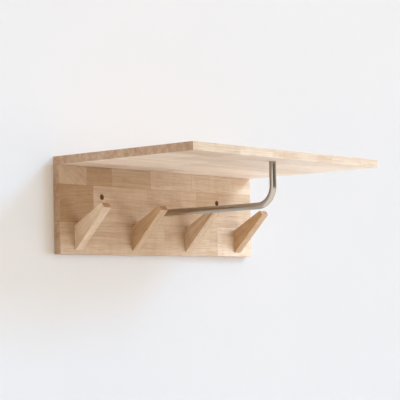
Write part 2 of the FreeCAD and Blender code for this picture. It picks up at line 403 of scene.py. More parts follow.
# %% Grain attributes
def lay_grain(piece, stave_of, is_bore=None):
    """stave_of(point) gives a stave: its frame, centre, shift, tone and border function."""
    mesh = piece.data
    for name, kind, domain in GRAIN_FACTS:
        mesh.attributes.new(name, kind, domain)
    place, border, tone, end, bored = [mesh.attributes[name] for name, kind, domain in GRAIN_FACTS]
    for face in mesh.polygons:
        stave = stave_of(face.center)
        along, across, thick = stave["frame"]
        tone.data[face.index].value = stave["tone"]
        end.data[face.index].value = abs(face.normal.dot(along)) ** 2
        # bored marks the faces inside a drilled hole, which get painted shade in the colour
        bored.data[face.index].value = float(is_bore(face.center)) if is_bore else 0.0
        for loop in face.loop_indices:
            point = mesh.vertices[mesh.loops[loop].vertex_index].co
            spot = point - stave["centre"]
            placed = Vector((spot.dot(along), spot.dot(across), spot.dot(thick))) + stave["shift"]
            place.data[loop].vector = placed
            border.data[loop].color = stave["border"](point)


print("grain is laid by", lay_grain.__name__, "as", len(GRAIN_FACTS), "attributes")

# %% [markdown]
# ## Holes and solid pieces
# Little light comes out of a drilled hole, so its wall gets painted shade, a darker colour in place
# of the shade. The drill could mark the faces that it makes, but a boolean hands its marks on in
# ways that are hard to follow. The place of a face tells as much: one that lies deeper in a panel
# than the eased edges can only be the wall of a hole. A peg is one solid block, so all of its
# joints are far away.

# %% Bores and far joints
BORE_DEPTH = 1.5 * MM    # deeper than the eased edges
NO_JOINT = 1000.0        # millimetres to a joint that is nowhere near


def bore_test(low, high):
    def is_bore(point):
        return all(low[k] + BORE_DEPTH < point[k] < high[k] - BORE_DEPTH for k in range(3))
    return is_bore


def no_border(point):
    return (NO_JOINT, NO_JOINT, NO_JOINT, NO_JOINT)


print("a hole's wall is darkened from", BORE_DEPTH / MM, "mm in")

# %% [markdown]
# ## Sawn panels with eased edges
# A sawn panel has sharp arrises, and sandpaper eases them by about a millimetre. A bevel modifier
# could do this, but the cuts below need the real edges, so the bevel is made in the mesh. Without
# it no edge would catch the light, and the panel would look like paper.

# %% Eased box
EDGE_EASE = 1.0 * MM
EASE_STEPS = 3


def link_piece(name, bm):
    mesh = bpy.data.meshes.new(name)
    bm.to_mesh(mesh)
    bm.free()
    piece = bpy.data.objects.new(name, mesh)
    scene.collection.objects.link(piece)
    return piece


def eased_box(low, high):
    bm = bmesh.new()
    bmesh.ops.create_cube(bm, size=1.0)
    middle = (low + high) / 2
    size = high - low
    for vert in bm.verts:
        vert.co = middle + Vector((vert.co.x * size.x, vert.co.y * size.y, vert.co.z * size.z))
    bmesh.ops.bevel(bm, geom=bm.edges[:], offset=EDGE_EASE, segments=EASE_STEPS, profile=0.5,
                    affect="EDGES")
    return bm


print("edges are eased by", EDGE_EASE / MM, "mm")

# %% [markdown]
# ## Handing a piece to the frame
# Each piece that we build takes the place of one solid of the frame and hides it. This could be
# written out piece by piece, but the same four steps come back every time, and one of them would
# soon be forgotten. So one helper gives a piece its finish, hides the solid that it replaces, and
# hangs it on the body.

# %% Dress a piece
def dress(piece, node, slot, finish):
    piece.data.materials.clear()
    piece.data.materials.append(finish)
    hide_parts(node)
    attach(piece, "root")
    return piece


print("pieces are dressed by", dress.__name__)

# %% [markdown]
# ## Joints in the skin, and shading
# The staves of a panel are glued for good, so the panel stays one piece. It could be built from
# many boxes, but they would leave walls inside it. Instead its skin is cut along every joint,
# which gives each stave faces of its own. Afterwards the broad faces stay flat, and the narrow
# rounded strips between them are shaded smooth.

# %% Skin cuts and shading
STRIP_WIDTH = 3.0 * MM
SQUARE_ON = 0.9999       # a face this square to an axis isn't part of a rounding
CUT_TOLERANCE = 1e-7


def cut_skin(bm, point, normal, keep):
    """Cut the faces whose middle passes keep along a plane, without adding a wall."""
    faces = [face for face in bm.faces if keep(face.calc_center_median())]
    edges = {edge for face in faces for edge in face.edges}
    verts = {vert for face in faces for vert in face.verts}
    bmesh.ops.bisect_plane(bm, geom=faces + list(edges) + list(verts), plane_co=point,
                           plane_no=normal, dist=CUT_TOLERANCE)


def shade_flats(piece):
    mesh = piece.data
    for face in mesh.polygons:
        corners = [mesh.vertices[index].co for index in face.vertices]
        sides = zip(corners, corners[1:] + corners[:1])
        longest = max((first - second).length for first, second in sides)
        slanted = max(abs(value) for value in face.normal) < SQUARE_ON
        face.use_smooth = slanted and face.area / longest < STRIP_WIDTH


print("strips under", STRIP_WIDTH / MM, "mm are shaded smooth")

# %% [markdown]
# ## A lathe
# Screws, bolts and drilled holes are turned shapes. A cylinder from Blender's menu would do for a
# plain hole, but not for a countersink or a screw's head. So we write a lathe: a list of radius
# and depth, spun round an axis. A radius may also change with the angle, which later gives the
# recess for a driver.

# %% Lathe
LATHE_STEPS = 32


def lathe(bm, rings, mouth, into, steps=LATHE_STEPS):
    """Spin (radius, depth) rings round an axis. A radius may be a function of the angle."""
    into = Vector(into)
    side = into.orthogonal().normalized()
    other = into.cross(side)
    loops = []
    for radius, depth in rings:
        loop = []
        for i in range(steps):
            angle = math.tau * i / steps
            reach = radius(angle) if callable(radius) else radius
            spoke = side * math.cos(angle) + other * math.sin(angle)
            loop.append(bm.verts.new(Vector(mouth) + into * depth + spoke * reach))
        loops.append(loop)
    for first, second in zip(loops, loops[1:]):
        for i in range(steps):
            k = (i + 1) % steps
            bm.faces.new((first[i], second[i], second[k], first[k]))
    bm.faces.new(loops[0])
    bm.faces.new(reversed(loops[-1]))


print("the lathe turns in", LATHE_STEPS, "steps")

# %% [markdown]
# ## Drilling
# On the real rack the holes are drilled after the glue has set, and we do the same. All cutters of
# one piece go into one mesh, and one exact boolean takes it away. One boolean for each hole would
# be slower, and each would leave its own thin faces.

# %% Drill
CUTTER_PROUD = 0.5 * MM  # a cutter starts this far outside the wood


def drill(piece, cutters):
    bm = bmesh.new()
    for rings, mouth, into in cutters:
        lathe(bm, rings, mouth, into)
    bmesh.ops.recalc_face_normals(bm, faces=bm.faces[:])
    cutter = link_piece("cutter", bm)
    boolean = piece.modifiers.new("holes", "BOOLEAN")
    boolean.operation = "DIFFERENCE"
    boolean.solver = "EXACT"
    boolean.object = cutter
    depsgraph = bpy.context.evaluated_depsgraph_get()
    drilled = bpy.data.meshes.new_from_object(piece.evaluated_get(depsgraph))
    piece.modifiers.clear()
    old = piece.data
    piece.data = drilled
    bpy.data.meshes.remove(old)
    bpy.data.objects.remove(cutter, do_unlink=True)
    return piece


def hole(radius, depth, mouth, into):
    return [(radius, -CUTTER_PROUD), (radius, depth)], mouth, into


def sunk_hole(radius, rim, depth, mouth, into):
    """A straight hole with a cone for a countersunk head at its mouth."""
    rings = [(rim + CUTTER_PROUD, -CUTTER_PROUD), (radius, rim - radius), (radius, depth)]
    return rings, mouth, into


print("cutters stand proud by", CUTTER_PROUD / MM, "mm")

# %% [markdown]
# ## Where the fasteners are
# The pegs are held by screws and dowels from behind, the shelf by screws and dowels from above,
# and the rod by a bolt at each end. The frame holds each group of equal fasteners as one node.
# Their places could be typed in again, but the node's mesh knows them: it falls into loose pieces,
# and the box of each piece tells where that fastener starts and ends. So the holes always meet the
# screws.

# %% Loose pieces of a node
MERGE_DISTANCE = 1e-6


def loose_boxes(node):
    bm = bmesh.new()
    bm.from_mesh(frame["nodes"][node].data)
    bmesh.ops.remove_doubles(bm, verts=bm.verts[:], dist=MERGE_DISTANCE)
    waiting = set(bm.verts)
    boxes = []
    while waiting:
        group = [waiting.pop()]
        for vert in group:
            for edge in vert.link_edges:
                other = edge.other_vert(vert)
                if other in waiting:
                    waiting.remove(other)
                    group.append(other)
        low = Vector([min(vert.co[k] for vert in group) for k in range(3)])
        high = Vector([max(vert.co[k] for vert in group) for k in range(3)])
        boxes.append((low, high))
    bm.free()
    return sorted(boxes, key=lambda box: (round(box[0].x, 4), box[0].y))


for node in ("peg_screws", "shelf_screws", "rod_bolts"):
    print(node, "falls into", len(loose_boxes(node)), "loose pieces")

# %% [markdown]
# ## Which way they point
# Peg screws are driven from the wall side towards the room, and shelf screws downwards. A head
# could be found by looking for the widest ring of points, but we know which way each screw goes
# in. So its box is enough to get the middle of its head and its length, which is all that a drill
# or a lathe needs.

# %% Fastener places
TO_ROOM = Vector((0.0, -1.0, 0.0))
DOWN = Vector((0.0, 0.0, -1.0))


def axis_start(box, into):
    """The middle of a box's face that goes in last, which is the head end, and the length."""
    low, high = box
    middle = (low + high) / 2
    half = (high - low) / 2
    reach = sum(abs(half[k] * into[k]) for k in range(3))
    return middle - into * reach, 2 * reach


peg_screw_heads = [axis_start(box, TO_ROOM) for box in loose_boxes("peg_screws")]
peg_dowel_ends = [axis_start(box, TO_ROOM) for box in loose_boxes("peg_dowels")]
shelf_screw_heads = [axis_start(box, DOWN) for box in loose_boxes("shelf_screws")]
shelf_dowel_ends = [axis_start(box, DOWN) for box in loose_boxes("shelf_dowels")]
top_bolt_box, rear_bolt_box = loose_boxes("rod_bolts")
rear_bolt_head = axis_start(rear_bolt_box, TO_ROOM)
top_bolt_head = axis_start(top_bolt_box, DOWN)
print("pegs:", len(peg_screw_heads), "screws and", len(peg_dowel_ends), "dowels")
print("shelf:", len(shelf_screw_heads), "screws and", len(shelf_dowel_ends), "dowels")

# %% [markdown]
# ## Holes for screws and dowels
# A countersunk screw sits in a cone at the surface with a straight hole below it, and a dowel in a
# blind hole. The screws could simply stand in solid wood, and few views would show it. Holes that
# are a tenth of a millimetre wider, with the heads a little below the surface, make a screw look
# driven in and not painted on.

# %% Screw and dowel holes
HOLE_GAP = 0.1 * MM
HEAD_SINK = 0.3 * MM
END_GAP = 0.5 * MM
PEG_SCREW_R = 2.25 * MM
PEG_SCREW_HEAD_R = 4.5 * MM
SHELF_SCREW_R = 3.5 * MM
SHELF_SCREW_HEAD_R = 5.0 * MM
BOLT_R = 3.0 * MM
BOLT_HEAD_R = 6.0 * MM
PEG_DOWEL_R = 3.0 * MM
SHELF_DOWEL_R = 4.0 * MM


def screw_holes(heads, into, radius, head_radius):
    bore = radius + HOLE_GAP
    rim = head_radius + HOLE_GAP + HEAD_SINK
    return [sunk_hole(bore, rim, length + HEAD_SINK + END_GAP, start - into * HEAD_SINK, into)
            for start, length in heads]


def dowel_holes(ends, into, radius):
    return [hole(radius + HOLE_GAP, length + END_GAP, start, into) for start, length in ends]


peg_holes = screw_holes(peg_screw_heads, TO_ROOM, PEG_SCREW_R, PEG_SCREW_HEAD_R)
peg_holes += dowel_holes(peg_dowel_ends, TO_ROOM, PEG_DOWEL_R)
shelf_holes = screw_holes(shelf_screw_heads, DOWN, SHELF_SCREW_R, SHELF_SCREW_HEAD_R)
shelf_holes += dowel_holes(shelf_dowel_ends, DOWN, SHELF_DOWEL_R)
rear_bolt_hole = screw_holes([rear_bolt_head], TO_ROOM, BOLT_R, BOLT_HEAD_R)
top_bolt_hole = screw_holes([top_bolt_head], DOWN, BOLT_R, BOLT_HEAD_R)
print("holes:", len(peg_holes), "for the pegs,", len(shelf_holes), "for the shelf,",
      len(rear_bolt_hole + top_bolt_hole), "for the rod")

# %% [markdown]
# ## Holes for the wall screws
# The two dark rounds in the board take the screws that hold the rack on the wall. They are wider
# in front, so that a screw's head goes inside the board. The record names their spacing and
# radius, because they have to fit the screws, so we read both there and don't repeat them.

# %% Wall holes
WALL_SINK_R = 6.25 * MM
WALL_SINK_DEPTH = 9.0 * MM
wall_mount = next(mount for mount in frame["record"]["mounts"] if mount["name"] == "wall_screws")
wall_hole_r = wall_mount["dims"]["hole_r_mm"] * MM
half_spacing = wall_mount["dims"]["spacing_x_mm"] * MM / 2
wall_hole_xs = (-half_spacing, half_spacing)
through = board_high.y - board_low.y + HEAD_SINK
wall_rings = [(WALL_SINK_R, -HEAD_SINK), (WALL_SINK_R, WALL_SINK_DEPTH),
              (wall_hole_r, WALL_SINK_DEPTH), (wall_hole_r, through)]
wall_holes = [(wall_rings, Vector((x, board_low.y, 0.0)), -TO_ROOM) for x in wall_hole_xs]
print("wall holes at", [round(x / MM, 1) for x in wall_hole_xs], "mm")

# %% [markdown]
# ## The joints round a stave
# Glue runs along the joints between staves, but not along a panel's outer edges. A list of each
# stave's neighbours could tell where, but a simpler way is to measure. Each point gets its
# distance to the stave's four sides, and a side that lies on the panel's edge counts as far away.

# %% Stave borders
NEAR_EDGE = 1.0 * MM


def stave_border(start, stop, band, across, low, high):
    """Gives a function for the distances, in millimetres, from a point to a stave's four joints."""
    first_x, last_x = low.x + NEAR_EDGE, high.x - NEAR_EDGE
    first_row, last_row = low[across] + NEAR_EDGE, high[across] - NEAR_EDGE

    def distances(point):
        left = (point.x - start) / MM if start > first_x else NO_JOINT
        right_side = (stop - point.x) / MM if stop < last_x else NO_JOINT
        below = (point[across] - band[0]) / MM if band[0] > first_row else NO_JOINT
        above = (band[1] - point[across]) / MM if band[1] < last_row else NO_JOINT
        return (left, right_side, below, above)

    return distances


print("a joint that is nowhere near counts as", NO_JOINT, "mm away")

# %% [markdown]
# ## Staves of a panel
# A mill glues a panel from rows, and each row from staves end to end. We write it down the same
# way. A row is its width and a list of staves, each with the place of its right end, its tone from
# 0 (pale) to 1 (deep) and the slope of its grain in degrees. Random staves alone would be shorter
# to write, but then the joints that can be seen would be in the wrong places.

# %% Stave rows
ALONG, BACKWARDS, UPWARDS = 0, 1, 2      # the axes X, Y and Z


def axis_vector(axis, length=1.0):
    """A vector along one axis."""
    made = Vector((0.0, 0.0, 0.0))
    made[axis] = length
    return made


def stave_rows(low, high, across, rows, seed):
    """Staves from rows of (width, [(end, tone, slope), ...]), which stack along the axis across."""
    draw = random.Random(seed)
    through_axis = BACKWARDS if across == UPWARDS else UPWARDS
    middle = axis_vector(through_axis, (low[through_axis] + high[through_axis]) / 2)
    staves = []
    edge = high[across] if across == UPWARDS else low[across]
    step = -1.0 if across == UPWARDS else 1.0
    for width, cells in rows:
        far = edge + step * width
        band = sorted((edge, far))
        start = low.x
        for end, tone, slope in cells:
            stop = low.x + end
            angle = math.radians(slope)
            grain = axis_vector(ALONG, math.cos(angle)) + axis_vector(across, math.sin(angle))
            along = axis_vector(ALONG, (start + stop) / 2)
            in_row = along + axis_vector(across, (edge + far) / 2)
            staves.append({"x": (start, stop), "band": band, "tone": tone,
                           "centre": in_row + middle,
                           "frame": grain_frame(grain, axis_vector(across)),
                           "shift": heart_shift(draw),
                           "border": stave_border(start, stop, band, across, low, high)})
            start = stop
        edge = far
    return staves


print("staves are laid out by", stave_rows.__name__)

# %% [markdown]
# ## From staves to a panel
# A panel is made in the order of the workshop: saw the blank and ease its edges, mark the joints,
# drill, and lay the grain. The grain comes last, because a boolean makes new faces, and each face
# has to ask which stave it belongs to. The answer is the stave that its middle misses least.

# %% Stave panel
def stave_finder(staves, across):
    def find(point):
        def miss(stave):
            off_x = max(stave["x"][0] - point.x, point.x - stave["x"][1], 0.0)
            first_side, last_side = stave["band"]
            off_band = max(first_side - point[across], point[across] - last_side, 0.0)
            return off_x + off_band
        return min(staves, key=miss)
    return find


def cut_staves(bm, staves, across):
    for edge in sorted({round(value, 6) for stave in staves for value in stave["band"]}):
        cut_skin(bm, axis_vector(across, edge), axis_vector(across), lambda centre: True)
    for stave in staves:
        def in_row(centre, band=stave["band"]):
            return band[0] <= centre[across] <= band[1]

        cut_skin(bm, axis_vector(ALONG, stave["x"][1]), axis_vector(ALONG), in_row)


def stave_panel(name, node, low, high, across, rows, holes, seed):
    staves = stave_rows(low, high, across, rows, seed)
    bm = eased_box(low, high)
    cut_staves(bm, staves, across)
    panel = drill(link_piece(name, bm), holes)
    lay_grain(panel, stave_finder(staves, across), bore_test(low, high))
    shade_flats(panel)
    print(name, "has", len(staves), "staves and", len(panel.data.polygons), "faces")
    return dress(panel, node, "panel_wood", panel_wood)


print("panels are glued up by", stave_panel.__name__)

# %% [markdown]
# ## The back board
# The board shows three rows of wide staves. The upper row is the narrow one, and its first stave
# is cut on the slant, so its grain crosses the others. The list follows the joints that can be
# seen, from the upper edge down and from left to right, and the tones run from deep on the left to
# paler on the right.

# %% Back board
board_rows = [           # each stave: where it ends, its tone, the slope of its grain
    (40.4 * MM, [(83 * MM, 0.70, -33.0), (161 * MM, 0.94, 1.5), (288 * MM, 0.78, -1.0),
                 (431 * MM, 0.48, 0.6), (650 * MM, 0.44, -1.2)]),
    (79.6 * MM, [(102 * MM, 1.0, 6.0), (447 * MM, 0.56, -1.5), (650 * MM, 0.66, 1.0)]),
    (68.0 * MM, [(332 * MM, 0.64, -1.0), (520 * MM, 0.66, 1.2), (650 * MM, 0.34, -0.5)]),
]
board_drilling = wall_holes + peg_holes + shelf_holes + rear_bolt_hole
back_board = stave_panel("back_board_panel", "back_board", board_low, board_high, UPWARDS,
                         board_rows, board_drilling, seed=11)

# %% [markdown]
# ## The shelf
# The shelf is glued up the same way, with its rows from the front edge back to the wall. Its front
# row shows clearly along the edge, so it is written out. The other rows show only on the
# underside, at a flat angle, so they are drawn at random lengths, as a mill would mix them. The
# seed makes each run draw the same ones.

# %% Shelf
FIRST_LENGTH = (90.0, 330.0)             # millimetres, as the next two
STAVE_LENGTH = (170.0, 380.0)
SHORTEST_LAST = 80.0
SLOPE = (-1.5, 1.5)                      # degrees


def mixed_rows(widths, length, tones, seed):
    draw = random.Random(seed)
    rows = []
    for width in widths:
        cells = []
        end = draw.uniform(*FIRST_LENGTH) * MM
        while end < length - SHORTEST_LAST * MM:
            cells.append((end, draw.uniform(*tones), draw.uniform(*SLOPE)))
            end += draw.uniform(*STAVE_LENGTH) * MM
        cells.append((length, draw.uniform(*tones), draw.uniform(*SLOPE)))
        rows.append((width, cells))
    return rows


shelf_widths = [w * MM for w in (62.0, 80.0, 80.0, 80.0, 83.0)]
shelf_rows = mixed_rows(shelf_widths, shelf_high.x - shelf_low.x, (0.0, 0.30), seed=5)
front_row = [(148 * MM, 0.52, 1.0), (262 * MM, 0.34, -0.8),
             (470 * MM, 0.24, 0.6), (650 * MM, 0.28, -1.0)]
shelf_rows[0] = (shelf_widths[0], front_row)
shelf = stave_panel("shelf_panel", "shelf_board", shelf_low, shelf_high, BACKWARDS, shelf_rows,
                    shelf_holes + top_bolt_hole, seed=23)

# %% [markdown]
# ## Rounded corners
# The tip and the nose of a peg are sanded round, so that they don't mark a coat. A bevel could
# round them, but it would round the foot as well. So the arc is worked out: its middle lies on the
# line that halves the corner, far enough in for the arc to meet both sides without a kink.

# %% Rounded corners
ROUND_STEPS = 6


def rounded_corner(before, corner, after, radius):
    """Points of the arc that rounds a corner, from the side before it to the side after it."""
    to_before = (before - corner).normalized()
    to_after = (after - corner).normalized()
    half = to_before.angle(to_after) / 2
    centre = corner + (to_before + to_after).normalized() * (radius / math.sin(half))
    first = corner + to_before * (radius / math.tan(half)) - centre
    last = corner + to_after * (radius / math.tan(half)) - centre
    turns = [first.slerp(last, i / ROUND_STEPS).normalized() for i in range(ROUND_STEPS + 1)]
    return [centre + spoke * radius for spoke in turns]


print("a rounded corner has", ROUND_STEPS + 1, "points")

# %% [markdown]
# ## The outline of a peg
# Each peg is sawn from a solid block. It is a wedge: the upper edge rises at 29 degrees and the
# lower edge at 45, so the peg grows slimmer as it leans out, and its nose is cut square to the
# upper edge. A scaled cube could come near, but the angles would be lost. So we draw the side from
# its angles and round its two corners.

# %% Peg outline
PEG_FOOT = 52.5 * MM
PEG_TOP_LENGTH = 91.0 * MM
PEG_TOP_RISE = math.radians(29.0)
PEG_UNDER_RISE = math.radians(45.0)
PEG_TIP_ROUND = 4.0 * MM
PEG_NOSE_ROUND = 2.5 * MM


def peg_outline(foot_low):
    """The peg's side, from its foot's lower corner round to its nose."""
    foot_high = foot_low + Vector((0.0, 0.0, PEG_FOOT))
    out = Vector((0.0, -math.cos(PEG_TOP_RISE), math.sin(PEG_TOP_RISE)))
    down_nose = Vector((0.0, -math.sin(PEG_TOP_RISE), -math.cos(PEG_TOP_RISE)))
    tip = foot_high + out * PEG_TOP_LENGTH
    over = tip - foot_low
    past_under = over.z * math.cos(PEG_UNDER_RISE) + over.y * math.sin(PEG_UNDER_RISE)
    nose = tip + down_nose * past_under / math.cos(PEG_UNDER_RISE - PEG_TOP_RISE)
    return ([foot_low, foot_high] + rounded_corner(foot_high, tip, nose, PEG_TIP_ROUND)
            + rounded_corner(tip, nose, foot_low, PEG_NOSE_ROUND))


print("peg outline:", len(peg_outline(Vector((0.0, 0.0, 0.0)))), "points")

# %% [markdown]
# ## From outline to block
# The outline is pulled to the peg's thickness, and a bevel eases its sides. Bevelling every edge
# would be shorter, but the foot has to keep its sharp edges, because it sits tight on the board.
# So only the edges that run round the two sides are taken, apart from the foot's own.

# %% Peg block
PEG_EASE = 1.2 * MM
SAME_PLACE = 1e-6


def peg_block(low, high):
    bm = bmesh.new()
    outline = peg_outline(Vector((low.x, high.y, low.z)))
    face = bm.faces.new([bm.verts.new(point) for point in outline])
    pulled = bmesh.ops.extrude_face_region(bm, geom=[face])
    for item in pulled["geom"]:
        if isinstance(item, bmesh.types.BMVert):
            item.co.x = high.x
    bmesh.ops.recalc_face_normals(bm, faces=bm.faces[:])
    sides = [edge for edge in bm.edges
             if abs(edge.verts[0].co.x - edge.verts[1].co.x) < SAME_PLACE
             and min(vert.co.y for vert in edge.verts) < high.y - SAME_PLACE]
    bmesh.ops.bevel(bm, geom=sides, offset=PEG_EASE, segments=EASE_STEPS, profile=0.5,
                    affect="EDGES")
    return bm


print("a peg's sides are eased by", PEG_EASE / MM, "mm")

# %% [markdown]
# ## The pegs
# The grain runs up the wedge, halfway between its two edges, as a sawyer would lay it for
# strength. Grain along an axis would be simpler, but it would leave the wedge at its slim end,
# where a peg breaks. The four pegs come from different trees. One mesh could be copied four times,
# but each peg has a tone and rings of its own.

# %% Pegs
peg_tones = (0.0, 0.56, 0.22, 0.66)
FIRST_PEG_SEED = 40


def make_peg(number, tone, seed):
    node = "peg_%d" % number
    low, high = node_box(node)
    peg = drill(link_piece(node + "_wedge", peg_block(low, high)), peg_holes)
    slope = (PEG_TOP_RISE + PEG_UNDER_RISE) / 2
    grain = (0.0, -math.cos(slope), math.sin(slope))
    stave = {"frame": grain_frame(grain, axis_vector(ALONG)), "centre": (low + high) / 2,
             "shift": heart_shift(random.Random(seed)), "tone": tone, "border": no_border}
    lay_grain(peg, lambda point: stave)
    shade_flats(peg)
    print(node, "faces", len(peg.data.polygons))
    return dress(peg, node, "peg_wood", peg_wood)


pegs = [make_peg(number, tone, seed=FIRST_PEG_SEED + number)
        for number, tone in enumerate(peg_tones, start=1)]

# %% [markdown]
# ## Brushed steel
# The rod is stainless steel, brushed along its length, and the screws are zinc plated. A plain
# metal shader would shine the same all over. Brushing leaves fine lines that spread the shine
# across them, so the shader gets some anisotropy, and a noise stretched along the lines varies its
# colour, roughness and relief. `rod_place` is how far a point lies along the rod and round it, so
# the lines follow the bend.

# %% Steel finish
BRUSH_SHADE = 0.86       # how dark the brush lines are
BRUSH_STRENGTH = 0.12
BRUSH_RELIEF = 0.03 * MM
CLOUDS = (14.0, 40.0, 40.0)              # waves per metre


def steel_finish(name, colour, rough, place_name, lines):
    finish, tree, shader = new_finish(name, Metallic=1.0, Roughness=rough, Anisotropic=0.35)
    if place_name:
        place = read_fact(tree, place_name)["Vector"]
    else:
        place = add_node(tree, "ShaderNodeTexCoord").outputs["Object"]
    brush = noise(tree, place, (lines[0], lines[1], lines[1]), 4.0, 0.7)
    cloud = noise(tree, place, CLOUDS)
    line_colour = [c * BRUSH_SHADE for c in colour]
    tint = mix_colour(tree, remap(tree, brush, 0.35, 0.7), (*colour, 1.0), (*line_colour, 1.0))
    tree.links.new(tint, shader.inputs["Base Color"])
    worn = math_node(tree, "ADD", remap(tree, brush, 0.3, 0.7, rough - 0.05, rough + 0.07),
                     remap(tree, cloud, 0.3, 0.7, -0.02, 0.03))
    tree.links.new(worn, shader.inputs["Roughness"])
    bump = add_node(tree, "ShaderNodeBump", Strength=BRUSH_STRENGTH, Distance=BRUSH_RELIEF,
                    Height=brush)
    tree.links.new(bump.outputs[0], shader.inputs["Normal"])
    return finish


rod_steel = steel_finish("brushed_stainless_steel", colour=(0.44, 0.39, 0.33), rough=0.17,
                         place_name="rod_place", lines=(3.0, 700.0))
zinc = steel_finish("zinc_plate", colour=(0.66, 0.65, 0.60), rough=0.34,
                    place_name=None, lines=(300.0, 300.0))
print("steel finishes:", rod_steel.name, zinc.name)

# %% [markdown]
# ## The path of the rod
# One round bar leaves the board level, turns up through a quarter circle and meets the shelf from
# below. A bender makes it from a straight bar in one stroke, so its path is two straight runs and
# an arc. Two cylinders and a piece of a torus could be joined, but their seams would show in the
# reflections. We list points along its middle line, close together in the bend and farther apart
# on the runs.

# %% Rod path
ROD_BEND = 42.0 * MM
BEND_STEPS = 24
RUN_STEP = 20.0 * MM
rod_low, rod_high = node_box("support_rod")
rod_radius = (rod_high.x - rod_low.x) / 2
rail_z = rod_low.z + rod_radius
leg_y = rod_low.y + rod_radius


def rod_path():
    """Points along the rod's middle line, each with the direction of travel."""
    bend_y = leg_y + ROD_BEND
    bend_z = rail_z + ROD_BEND
    stations = []
    runs = math.ceil((rod_high.y - bend_y) / RUN_STEP)
    for i in range(runs):
        y = rod_high.y + (bend_y - rod_high.y) * i / runs
        stations.append((Vector((0.0, y, rail_z)), TO_ROOM))
    for i in range(BEND_STEPS):
        turned = math.pi / 2 * i / BEND_STEPS
        out, up_turn = math.sin(turned), math.cos(turned)
        point = Vector((0.0, bend_y - ROD_BEND * out, bend_z - ROD_BEND * up_turn))
        stations.append((point, Vector((0.0, -up_turn, out))))
    runs = math.ceil((rod_high.z - bend_z) / RUN_STEP)
    for i in range(runs + 1):
        z = bend_z + (rod_high.z - bend_z) * i / runs
        stations.append((Vector((0.0, leg_y, z)), -DOWN))
    return stations


print("rod path:", len(rod_path()), "points, rod", round(2 * rod_radius / MM, 1), "mm across")

# %% [markdown]
# ## Rings along the path
# A curve with a round bevel could make the rod, but a mesh swept by hand keeps its sections even
# and lets us store the place along the rod. Each point of the path gets one ring of points, square
# to the way of travel. The length travelled so far is kept as well, for the brush lines.

# %% Rod rings
ROD_STEPS = 48


def rod_rings(bm, path):
    """One ring of points for each station of the path, and the length travelled so far."""
    across = axis_vector(ALONG)
    angles = [math.tau * i / ROD_STEPS for i in range(ROD_STEPS)]
    rings = []
    travelled = []
    last = path[0][0]
    for point, way in path:
        lift = across.cross(way)
        rings.append([bm.verts.new(point + rod_radius * (across * math.cos(a) + lift * math.sin(a)))
                      for a in angles])
        travelled.append((travelled[-1] if travelled else 0.0) + (point - last).length)
        last = point
    return rings, travelled


print("each ring of the rod has", ROD_STEPS, "points")

# %% [markdown]
# ## The support rod
# The rod is one smooth bar between the board and the shelf. Blender can bridge rings by itself,
# but we need each face's place on the rod, so quads join the rings one by one. The rims at the two
# ends are marked as sharp. Otherwise smooth shading would blend the flat ends into the round side,
# and the reflections would bend just below the shelf.

# %% Support rod
def make_rod():
    bm = bmesh.new()
    place = bm.loops.layers.float_vector.new("rod_place")
    rings, travelled = rod_rings(bm, rod_path())
    for k, (first, second) in enumerate(zip(rings, rings[1:])):
        for i in range(ROD_STEPS):
            j = (i + 1) % ROD_STEPS
            face = bm.faces.new((first[i], first[j], second[j], second[i]))
            face.smooth = True
            spots = ((k, i), (k, i + 1), (k + 1, i + 1), (k + 1, i))
            for loop, (ring, spoke) in zip(face.loops, spots):
                angle = math.tau * spoke / ROD_STEPS
                loop[place] = (travelled[ring], rod_radius * math.cos(angle),
                               rod_radius * math.sin(angle))
    for rim in (reversed(rings[0]), rings[-1]):
        for edge in bm.faces.new(rim).edges:
            edge.smooth = False
    bmesh.ops.recalc_face_normals(bm, faces=bm.faces[:])
    print("rod length %.0f mm" % (travelled[-1] / MM))
    return dress(link_piece("support_rod_bar", bm), "support_rod", "rod_steel", rod_steel)


support_rod = make_rod()

# %% [markdown]
# ## Recesses for a driver
# The heads show on the rear of the board and on top of the shelf. The peg screws take a cross
# driver, the shelf screws and the bolts a hexagon key. A recess could be cut with a boolean, but
# the lathe can turn it as well: its rings follow a cross or a hexagon instead of a circle.

# %% Driver recesses
CROSS_SPAN = 4.6 * MM
CROSS_WIDTH = 1.3 * MM
KEY_FLATS = 4.0 * MM
NOT_ZERO = 1e-6


def hexagon(across_flats):
    def reach(angle):
        turned = (angle + math.pi / 6) % (math.pi / 3) - math.pi / 6
        return across_flats / 2 / math.cos(turned)
    return reach


def cross(span, width):
    def reach(angle):
        wide = max(abs(math.cos(angle)), abs(math.sin(angle)))
        narrow = min(abs(math.cos(angle)), abs(math.sin(angle)))
        return min(span / 2 / wide, width / 2 / max(narrow, NOT_ZERO))
    return reach


cross_recess = cross(CROSS_SPAN, CROSS_WIDTH)
key_recess = hexagon(KEY_FLATS)
print("recesses: a cross of", CROSS_SPAN / MM, "mm and a hexagon of", KEY_FLATS / MM, "mm")

# %% [markdown]
# ## Screws and bolts
# A screw is one turned shape: the floor of the recess, its wall, the head, the cone under it, the
# shank and the point. It could be stacked from cylinders and cones, but their end faces would stay
# inside it. Threads would be hidden in the wood, so they are left out, which keeps the meshes
# light. Equal screws share one piece, as they share one node in the frame.

# %% Screws and bolts
SCREW_STEPS = 48
HEAD_SOFT = 0.25 * MM    # the worn edge of a head
POINT_R = 0.2 * MM
BOLT_END_R = 2.25 * MM
CROSS_DEPTH = 2.0 * MM
KEY_DEPTH = 2.5 * MM
BOLT_KEY_DEPTH = 2.2 * MM


def screw_rings(radius, head_radius, length, tip, recess, recess_depth):
    cone = head_radius - radius
    return [(POINT_R, recess_depth), (recess, recess_depth), (recess, 0.0),
            (head_radius - HEAD_SOFT, 0.0), (head_radius, HEAD_SOFT),
            (radius, cone + HEAD_SOFT), (radius, length - (radius - tip)), (tip, length)]


